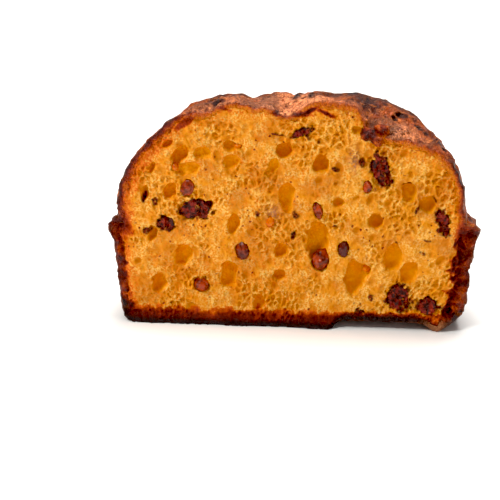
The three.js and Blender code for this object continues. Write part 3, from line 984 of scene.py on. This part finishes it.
def browning(tree, browned, speckle):
    """How browned the bread is, speckled, and its colour: from crumb yellow to baked near black."""
    speckled = {0: speckle, 1: 0.5, 2: browned}
    speckled = add(tree, "ShaderNodeMath", {"operation": "MULTIPLY_ADD"}, speckled)
    amount = add(tree, "ShaderNodeMath", {"operation": "SUBTRACT"}, {0: speckled, 1: 0.25})
    ramp = add(tree, "ShaderNodeValToRGB", {}, {"Fac": amount})
    elements = ramp.color_ramp.elements
    while len(elements) < len(BROWNING):
        elements.new(0.5)
    for element, (place, colour) in zip(elements, BROWNING):
        element.position = place
        element.color = linear(colour)
    return amount, ramp


def finish(tree, shader, height=None, strength=0.0, distance=0.0):
    """Close a material with its shader's settings and the bumps that a height makes."""
    if height:
        links = {"Strength": strength, "Distance": distance * MM, "Height": height}
        shader = shader | {"Normal": add(tree, "ShaderNodeBump", {}, links)}
    surface = add(tree, "ShaderNodeBsdfPrincipled", {}, shader)
    add(tree, "ShaderNodeOutputMaterial", {}, {"Surface": surface})


def crumb_material(colours):
    """Enriched yeast crumb, yellow from egg yolk and butter, torn open by the knife.

    Thin moist walls let light through, so it glows and has no gloss, and the bubbles'
    smooth insides are deeper in colour than the torn edges between them.
    """
    masks = ("browned", "cell_shade", "stain_and_slit_shade", "opened", "shade", "smudge")
    grains = ((7, 4, 0), (1.1, 3, 0), (15, 3, 0), (24, 2, 0), (1.8, 3, 0), (0.7, 4, 0))
    material, tree, place, masks, grains = new_material("egg_yolk_crumb", masks, grains)
    browned, cell_shade, stain_and_slit_shade, opened, shade, smudge = masks
    patches, speckle, dense, scarce, ragged, fine = grains
    # The torn edges, the cells' walls and the smooth insides of the large bubbles, with painted
    # shade that darkens the cells by their depth
    edge = lay(tree, colours.crumb_pale, colours.crumb, None, patches, (0.35, 0.65))
    edge = lay(tree, edge, "#DA8A1A", None, speckle, (0.4, 0.62))
    # The cells' painted shade: darker, more orange colours
    shaded_cell = lay(tree, "#D88A18", "#C4700C", None, patches, (0.3, 0.7))
    inside = lay(tree, "#F0A824", "#E08E12", None, patches, (0.3, 0.7))
    # Painted shade on the upper left of each large bubble's inside
    inside = lay(tree, inside, "#C26A08", shade, speckle, (0.2, 0.6), (0, 0.75))
    crumb = lay(tree, edge, shaded_cell, None, cell_shade, (0.12, 0.8))
    crumb = lay(tree, crumb, "#B85E0A", None, dense, (0.5, 0.66), (0, 0.5))
    crumb = lay(tree, crumb, inside, opened)
    # Browning under the crust, and greyish smudges
    amount, baked = browning(tree, browned, speckle)
    baked = lay(tree, crumb, baked, None, amount, (0.02, 0.25))
    baked = lay(tree, baked, "#8C7468", smudge, speckle, (0.35, 0.6), (0, 0.6))
    # Dark red specks, five millimetres apart, in drifts and only outside the bubbles
    specks = {"Vector": place, "Scale": 1 / (5 * MM), "Randomness": 1.0}
    specks = add(tree, "ShaderNodeTexVoronoi", {}, specks)
    spread = {0: speckle, 1: 0.5, 2: specks}
    spread = add(tree, "ShaderNodeMath", {"operation": "MULTIPLY_ADD"}, spread)
    closed = add(tree, "ShaderNodeMath", {"operation": "SUBTRACT"}, {0: 1.0, 1: opened})
    drift = {"Value": scarce, "From Min": 0.42, "From Max": 0.58}
    drift = add(tree, "ShaderNodeMapRange", {"interpolation_type": "SMOOTHSTEP"}, drift)
    drift = add(tree, "ShaderNodeMath", {"operation": "MULTIPLY"}, {0: drift, 1: closed})
    baked = lay(tree, baked, "#7A220A", drift, spread, (0.42, 0.33))
    streak = lay(tree, colours.chocolate, "#7C240A", None, speckle, (0.4, 0.65))
    # Chocolate stains, and painted shade in chocolate's colour inside the gaps beside the wall
    colour = lay(tree, baked, streak, stain_and_slit_shade, ragged, (0.25, 0.5), (0.5, 1))
    shader = {
        "Base Color": colour,
        "Roughness": 0.82,
        "IOR": 1.4,
        "Subsurface Weight": 0.35,
        "Subsurface Radius": (1.0, 0.5, 0.12),
        "Subsurface Scale": 2.4 * MM,
    }
    finish(tree, shader, fine, 0.55, 0.4)
    return material


def crust_material(colours):
    """Baked crust of a rich dough: dark, thin and leathery, with the faint gloss of browned egg.

    Ridges and blisters scorch first, the sides kept paler by the mould are rust brown.
    """
    masks = ("browned", "char_and_hole_shade", "relief", "side", "rosy", "away", "outside")
    grains = ((16, 5, 0.4), (3.2, 4, 0.8), (1, 3, 0), (2.6, 2, 1.2), (0.8, 4, 0))
    material, tree, _, masks, grains = new_material("browned_crust", masks, grains)
    browned, char_and_hole_shade, relief, side, rosy, away, outside = masks
    patches, mottle, speckle, wrinkles, fine = grains
    creases = add(tree, "ShaderNodeMath", {"operation": "SUBTRACT"}, {0: wrinkles, 1: 0.5})
    creases = add(tree, "ShaderNodeMath", {"operation": "ABSOLUTE"}, {0: creases})
    # The dome near the cut: rust with orange and rosy places, and painted shade in its hollows and
    # creases
    dome = lay(tree, colours.crust, colours.crust_dark, None, patches, (0.4, 0.62))
    dome = lay(tree, dome, "#CC6C24", None, mottle, (0.5, 0.66))
    dome = lay(tree, dome, "#FF9C64", rosy, mottle, (0.3, 0.52))
    # Painted shade in the hollows of the relief and along the creases
    dome = lay(tree, dome, "#2A0904", None, relief, (0.56, 0.26))
    dome = lay(tree, dome, "#5A1405", None, creases, (0.06, 0), (0, 0.8))
    # The wall below the lip
    wall = lay(tree, colours.side, "#7E3A16", None, patches, (0.35, 0.65))
    wall = lay(tree, wall, "#64280F", None, mottle, (0.48, 0.66))
    wall = lay(tree, wall, "#B87850", rosy)
    # The dome farther back, more even, with painted shade in its hollows
    plain = lay(tree, "#9A5024", "#5E260E", None, patches, (0.38, 0.64))
    plain = lay(tree, plain, "#A8602E", None, mottle, (0.55, 0.75))
    plain = lay(tree, plain, "#30100A", None, relief, (0.5, 0.25))
    skin = lay(tree, dome, plain, away)
    skin = lay(tree, skin, wall, side)
    # Scorched places, and painted shade in the crust's holes
    skin = lay(tree, skin, "#2A1718", char_and_hole_shade, mottle, (0.25, 0.5))
    colour = lay(tree, browning(tree, browned, speckle)[1], skin, outside)
    height = mottle
    for part, share in ((fine, 0.5), (creases, 4.0)):
        height = {0: part, 1: share, 2: height}
        height = add(tree, "ShaderNodeMath", {"operation": "MULTIPLY_ADD"}, height)
    rough = {"Value": mottle, "From Min": 0.2, "From Max": 0.8, "To Min": 0.3, "To Max": 0.55}
    rough = add(tree, "ShaderNodeMapRange", {"interpolation_type": "SMOOTHSTEP"}, rough)
    shader = {"Base Color": colour, "Roughness": rough, "IOR": 1.45, "Specular IOR Level": 0.4}
    finish(tree, shader, height, 1.0, 1.3)
    return material


def fruit_material(name, deep, light, grain, own):
    """Moist fruit flesh: coloured light comes back out of it, more where it is ripe."""
    grains = ((grain, 3, 0), (0.9, 4, 0))
    material, tree, _, (ripe,), (blush, fine) = new_material(name, ("ripe",), grains)
    blush = add(tree, "ShaderNodeMath", {"operation": "MULTIPLY"}, {0: blush, 1: ripe})
    colour = lay(tree, deep, light, None, blush, (0.2, 0.5))
    shader = {
        "Base Color": colour,
        "IOR": 1.46,
        "Specular IOR Level": 0.25,
        "Subsurface Radius": (1.0, 0.35, 0.1),
        "Subsurface Scale": 1.5 * MM,
        "Coat Roughness": 0.1,
    }
    finish(tree, shader | own, fine, 0.35, 0.3)
    return material


def raisin_material():
    """Plump raisin skin, dried and soaked again: it glows red brown under a wet gloss."""
    own = {"Roughness": 0.36, "Subsurface Weight": 0.3, "Coat Weight": 0.4}
    return fruit_material("plump_raisin_skin", "#4E0C03", "#A83C0A", 4, own)


def peel_material():
    """Orange peel boiled in sugar: clear deep orange, sticky but hardly wet."""
    own = {"Roughness": 0.3, "Subsurface Weight": 0.4, "Coat Weight": 0.1}
    return fruit_material("candied_orange_peel", "#A83A08", "#D0700E", 3, own)


def chocolate_material(colours):
    """Dark chocolate that half melted in the oven and set again: dull, broken, full of crumbs."""
    grains = ((3.2, 3, 0), (1.5, 3, 0.6), (0.7, 4, 0))
    material, tree, _, _, grains = new_material("half_melted_dark_chocolate", (), grains)
    cloud, crumbs, fine = grains
    colour = lay(tree, colours.chocolate, "#7C1606", None, cloud, (0.42, 0.6))
    colour = lay(tree, colour, "#9C320A", None, crumbs, (0.56, 0.66))
    height = {0: fine, 1: 0.5, 2: crumbs}
    height = add(tree, "ShaderNodeMath", {"operation": "MULTIPLY_ADD"}, height)
    finish(tree, {"Base Color": colour, "Roughness": 0.6, "IOR": 1.45}, height, 0.9, 0.7)
    return material


def floor_material(colours):
    """Matt pale studio board."""
    material, tree, _, _, (faint,) = new_material("pale_studio_board", (), ((60, 2, 0),))
    finish(tree, {"Base Color": lay(tree, colours.floor, "#F4F3F1", faint), "Roughness": 0.75})
    return material


# Settings


def length(name, description, millimetres):
    return bpy.props.FloatProperty(
        name=name, description=description, default=millimetres * MM, unit="LENGTH", min=0.0
    )


def tint(name, description, hex_colour):
    return bpy.props.FloatVectorProperty(
        name=name, description=description, default=linear(hex_colour), size=4, subtype="COLOR"
    )


class PanettoneSizes(bpy.types.PropertyGroup):
    crust_grain: length("Crust Grain", "Spacing of the crust's mesh", 1.03)
    crumb_grain: length("Crumb Grain", "Spacing of the crumb's mesh", 0.5)
    wrinkle_depth: length("Wrinkle Depth", "Height of the crust's wrinkles and blisters", 1.0)
    crumb_depth: length("Crumb Depth", "Scale of the small bubbles' depth", 1.0)
    flake_size: length("Flake Size", "Half size of a torn flake of crumb", 0.55)
    flake_density: bpy.props.FloatProperty(
        name="Flakes", description="Flakes on a square metre of crumb", default=260000, min=0
    )
    seed: bpy.props.IntProperty(name="Seed", description="Start of the random draws", default=7)


class PanettoneColours(bpy.types.PropertyGroup):
    crumb: tint("Crumb", "Main colour of the crumb", "#DC8A13")
    crumb_pale: tint("Pale Crumb", "Palest torn edges of the crumb", "#EBBA62")
    crust: tint("Crust", "Main colour of the dome's crust", "#B44E14")
    crust_dark: tint("Dark Crust", "Scorched parts of the dome", "#421208")
    side: tint("Side", "Crust that the mould kept paler", "#8E4A20")
    chocolate: tint("Chocolate", "Half-melted chocolate", "#340A05")
    floor: tint("Floor", "The board that the loaf stands on", "#F7F6F4")


def sizes_now():
    return bpy.context.scene.panettone_sizes


def colours_now():
    return bpy.context.scene.panettone_colours


# Operators


class PANETTONE_OT_crust(bpy.types.Operator):
    """Make the baked skin of the half loaf, with its rim round the cut"""

    bl_idname = "panettone.crust"
    bl_label = "Crust"

    def execute(self, context):
        sizes = sizes_now()
        points, *faces = crust_plate(sizes)
        mesh = mesh_from("crust", points, *faces)
        save_attributes(mesh, crust_masks(*points.T, sizes))
        new_piece("crust", mesh, crust_material(colours_now()), "bread_crust", "loaf")
        return {"FINISHED"}


class PANETTONE_OT_crumb(bpy.types.Operator):
    """Make the open crumb of the cut face"""

    bl_idname = "panettone.crumb"
    bl_label = "Crumb"

    def execute(self, context):
        points, faces, masks = crumb_surface(sizes_now())
        mesh = mesh_from("crumb", points, *faces)
        save_attributes(mesh, masks)
        new_piece("crumb", mesh, crumb_material(colours_now()), "bread_crumb", "loaf")
        return {"FINISHED"}


def flake_tree():
    """Strews flat flakes over a surface, fewer where its attribute called opened is high."""
    tree = bpy.data.node_groups.new("torn_flakes", "GeometryNodeTree")
    for name, way, kind in (
        ("Surface", "INPUT", "NodeSocketGeometry"),
        ("Flakes", "INPUT", "NodeSocketFloat"),
        ("Flake Size", "INPUT", "NodeSocketFloat"),
        ("Seed", "INPUT", "NodeSocketInt"),
        ("Finish", "INPUT", "NodeSocketMaterial"),
        ("Strewn", "OUTPUT", "NodeSocketGeometry"),
    ):
        tree.interface.new_socket(name, in_out=way, socket_type=kind)
    given = add(tree, "NodeGroupInput").outputs
    seed = given["Seed"]
    opened = {"Name": "opened"}
    opened = add(tree, "GeometryNodeInputNamedAttribute", {"data_type": "FLOAT"}, opened)
    closed = add(tree, "ShaderNodeMath", {"operation": "SUBTRACT"}, {0: 1.0, 1: opened})
    density = {0: given["Flakes"], 1: closed}
    density = add(tree, "ShaderNodeMath", {"operation": "MULTIPLY"}, density)
    strewn = {"Mesh": given["Surface"], "Density": density, "Seed": seed}
    strewn = add(tree, "GeometryNodeDistributePointsOnFaces", {}, strewn)
    flake = {"Segments": 4, "Rings": 2, "Radius": 1.0}
    flake = add(tree, "GeometryNodeMeshUVSphere", {}, flake)
    # Each flake is turned at random and squashed to its own length, width and thickness
    turn, shape = (
        add(
            tree,
            "FunctionNodeRandomValue",
            {"data_type": "FLOAT_VECTOR"},
            {"Min": low, "Max": high, "Seed": seed},
        )
        for low, high in (((0, 0, 0), (6.28, 6.28, 6.28)), ((0.3, 0.3, 0.15), (1.0, 0.9, 0.45)))
    )
    size = {"Vector": shape, "Scale": given["Flake Size"]}
    size = add(tree, "ShaderNodeVectorMath", {"operation": "SCALE"}, size)
    placed = {"Points": strewn, "Instance": flake, "Rotation": turn, "Scale": size}
    placed = add(tree, "GeometryNodeInstanceOnPoints", {}, placed)
    real = add(tree, "GeometryNodeRealizeInstances", {}, {"Geometry": placed})
    finished = {"Geometry": real, "Material": given["Finish"]}
    finished = add(tree, "GeometryNodeSetMaterial", {}, finished)
    add(tree, "NodeGroupOutput", {}, {"Strewn": finished})
    return tree


class PANETTONE_OT_flakes(bpy.types.Operator):
    """Strew torn flakes of crumb over the cut"""

    bl_idname = "panettone.flakes"
    bl_label = "Torn Flakes"

    def execute(self, context):
        sizes = sizes_now()
        crumb = bpy.data.objects["crumb"]
        carrier = bpy.data.objects.new("flake_carrier", crumb.data.copy())
        context.scene.collection.objects.link(carrier)
        strew = carrier.modifiers.new("flakes", "NODES")
        strew.node_group = flake_tree()
        values = {
            "Flakes": sizes.flake_density,
            "Flake Size": sizes.flake_size,
            "Seed": sizes.seed,
            "Finish": crumb.data.materials[0],
        }
        for item in strew.node_group.interface.items_tree:
            if item.name in values:
                strew[item.identifier] = values[item.name]
        ready = carrier.evaluated_get(context.evaluated_depsgraph_get())
        mesh = bpy.data.meshes.new_from_object(ready)
        mesh.name = "crumb_flakes"
        bpy.data.objects.remove(carrier)
        new_piece("crumb_flakes", mesh, crumb.data.materials[0], "bread_crumb")
        return {"FINISHED"}


def lumpy_eggs(name, places, wrinkle, flush=False):
    """One mesh of eggs on the cut, wrinkled, and where flush sliced level with it."""
    bm = bmesh.new()
    bmesh.ops.create_icosphere(bm, subdivisions=EGG_ROUNDNESS, radius=1.0)
    unit = np.array([vert.co for vert in bm.verts])
    faces = np.array([[vert.index for vert in face.verts] for face in bm.faces])
    bm.free()
    points, corners = [], []
    for number, (px, pz, across, tall, deep, lean, sunk) in enumerate(places):
        u, v, w = unit.T
        own = (unit + 7.3 * number).T
        lump = 1 + 0.09 * ripple(4 * u + px, 4 * v, 4 * w + pz, 7, 1.1)
        fold = np.abs(noise(*own, 0.55, 81)) + 0.45 * np.abs(noise(*own, 0.27, 82))
        lump = lump - wrinkle * (0.55 - fold) + 0.12 * noise(*own, 1.1, 83)
        turn = math.radians(lean)
        x, y, z = across * lump * u, deep * lump * v, tall * lump * w
        x, z = x * math.cos(turn) + z * math.sin(turn), z * math.cos(turn) - x * math.sin(turn)
        x, z = x + px, z + pz
        y = y + cut_face(px, pz) + sunk * deep
        if flush:
            rough = grit(x, 0, z, (1.1, 2.3, 91), (0.6, 1.0, 92))
            y = np.maximum(y, cut_face(x, z) + 1.2 + rough)
        points.append(np.stack([x, y, z], axis=1))
        corners.append(faces + number * len(unit))
    return mesh_from(name, np.concatenate(points), np.concatenate(corners))


class PANETTONE_OT_raisins(bpy.types.Operator):
    """Make the raisins that show on the cut"""

    bl_idname = "panettone.raisins"
    bl_label = "Raisins"

    def execute(self, context):
        mesh = lumpy_eggs("raisins", RAISINS, wrinkle=0.22)
        each = len(mesh.vertices) // len(RAISINS)
        save_attributes(mesh, {"ripe": np.repeat(RAISIN_RIPENESS, each)})
        new_piece("raisins", mesh, raisin_material(), "raisin", *nodes_called("raisin"))
        return {"FINISHED"}


class PANETTONE_OT_chocolate(bpy.types.Operator):
    """Make the chocolate chunks that the knife sliced"""

    bl_idname = "panettone.chocolate"
    bl_label = "Chocolate"

    def execute(self, context):
        mesh = lumpy_eggs("chocolate", CHOCOLATES, wrinkle=0.3, flush=True)
        material = chocolate_material(colours_now())
        new_piece("chocolate", mesh, material, "chocolate", *nodes_called("chocolate"))
        return {"FINISHED"}


class PANETTONE_OT_peel(bpy.types.Operator):
    """Make the cubes of candied orange peel"""

    bl_idname = "panettone.peel"
    bl_label = "Candied Peel"

    def execute(self, context):
        mesh = lumpy_eggs("candied_peel", PEELS, wrinkle=0.12)
        save_attributes(mesh, {"ripe": np.full(len(mesh.vertices), PEEL_RIPENESS)})
        nodes = nodes_called("candied_peel")
        new_piece("candied_peel", mesh, peel_material(), "candied_peel", *nodes)
        return {"FINISHED"}


def add_floor(scene):
    far = FLOOR_REACH
    mesh = bpy.data.meshes.new("floor")
    corners = [(-far, -far, 0), (far, -far, 0), (far, far, 0), (-far, far, 0)]
    mesh.from_pydata(corners, [], [(0, 1, 2, 3)])
    mesh.materials.append(floor_material(colours_now()))
    floor = bpy.data.objects.new("floor", mesh)
    scene.collection.objects.link(floor)


def add_lights(scene):
    for name, place, size, power, colour in LIGHTS:
        light = bpy.data.lights.new(name, "AREA")
        light.size, light.energy, light.color = size, power, colour
        lamp = bpy.data.objects.new(name, light)
        lamp.location = place
        lamp.rotation_euler = (LOOKED_AT - lamp.location).to_track_quat("-Z", "Y").to_euler()
        scene.collection.objects.link(lamp)
    world = bpy.data.worlds.new("studio")
    world.use_nodes = True
    background = world.node_tree.nodes["Background"]
    background.inputs["Color"].default_value = (1.0, 1.0, 1.0, 1.0)
    background.inputs["Strength"].default_value = STUDIO_GLOW
    scene.world = world
    scene.view_settings.view_transform = "Standard"
    scene.view_settings.use_curve_mapping = True
    scene.view_settings.curve_mapping.black_level = (BLACK_LEVEL,) * 3


def add_camera(scene):
    """A camera at the photograph's angle, aimed so that the loaf lands where it does there."""
    turn, climb = PHOTO_AZIMUTH, PHOTO_ELEVATION
    level = math.cos(climb)
    away = Vector((math.sin(turn) * level, -math.cos(turn) * level, math.sin(climb)))
    right = Vector((math.cos(turn), math.sin(turn), 0))
    up = away.cross(right)
    middle = FRAME_PIXELS / 2
    across, down = ((pixel - middle) / PIXELS_PER_METRE for pixel in LANDS_AT)
    aim = LOOKED_AT - right * across + up * down
    data = bpy.data.cameras.new("camera")
    data.sensor_width = SENSOR_WIDTH
    data.lens = SENSOR_WIDTH * PIXELS_PER_METRE * CAMERA_DISTANCE / FRAME_PIXELS
    camera = bpy.data.objects.new("camera", data)
    camera.location = LOOKED_AT + away * CAMERA_DISTANCE
    camera.rotation_euler = (aim - camera.location).to_track_quat("-Z", "Y").to_euler()
    scene.collection.objects.link(camera)
    scene.camera = camera


class PANETTONE_OT_stage(bpy.types.Operator):
    """Make the pale floor, the soft studio lights and the camera"""

    bl_idname = "panettone.stage"
    bl_label = "Stage"

    def execute(self, context):
        add_floor(context.scene)
        add_lights(context.scene)
        add_camera(context.scene)
        return {"FINISHED"}


class PANETTONE_PT_panel(bpy.types.Panel):
    """Lists the half panettone's settings and pieces"""

    bl_idname = "PANETTONE_PT_panel"
    bl_label = "Half Panettone"
    bl_space_type = "VIEW_3D"
    bl_region_type = "UI"
    bl_category = "Panettone"

    def draw(self, context):
        for group in (sizes_now(), colours_now()):
            for name in group.__annotations__:
                self.layout.prop(group, name)
        for operator in OPERATORS:
            self.layout.operator(operator.bl_idname)


OPERATORS = (
    PANETTONE_OT_crust,
    PANETTONE_OT_crumb,
    PANETTONE_OT_flakes,
    PANETTONE_OT_raisins,
    PANETTONE_OT_chocolate,
    PANETTONE_OT_peel,
    PANETTONE_OT_stage,
)
CLASSES = (PanettoneSizes, PanettoneColours, *OPERATORS, PANETTONE_PT_panel)


def register():
    for cls in CLASSES:
        bpy.utils.register_class(cls)
    bpy.types.Scene.panettone_sizes = bpy.props.PointerProperty(type=PanettoneSizes)
    bpy.types.Scene.panettone_colours = bpy.props.PointerProperty(type=PanettoneColours)


def unregister():
    del bpy.types.Scene.panettone_colours
    del bpy.types.Scene.panettone_sizes
    for cls in reversed(CLASSES):
        bpy.utils.unregister_class(cls)


def main():
    register()
    for operator in OPERATORS:
        group, name = operator.bl_idname.split(".")
        getattr(getattr(bpy.ops, group), name)()


if __name__ == "__main__":
    main()
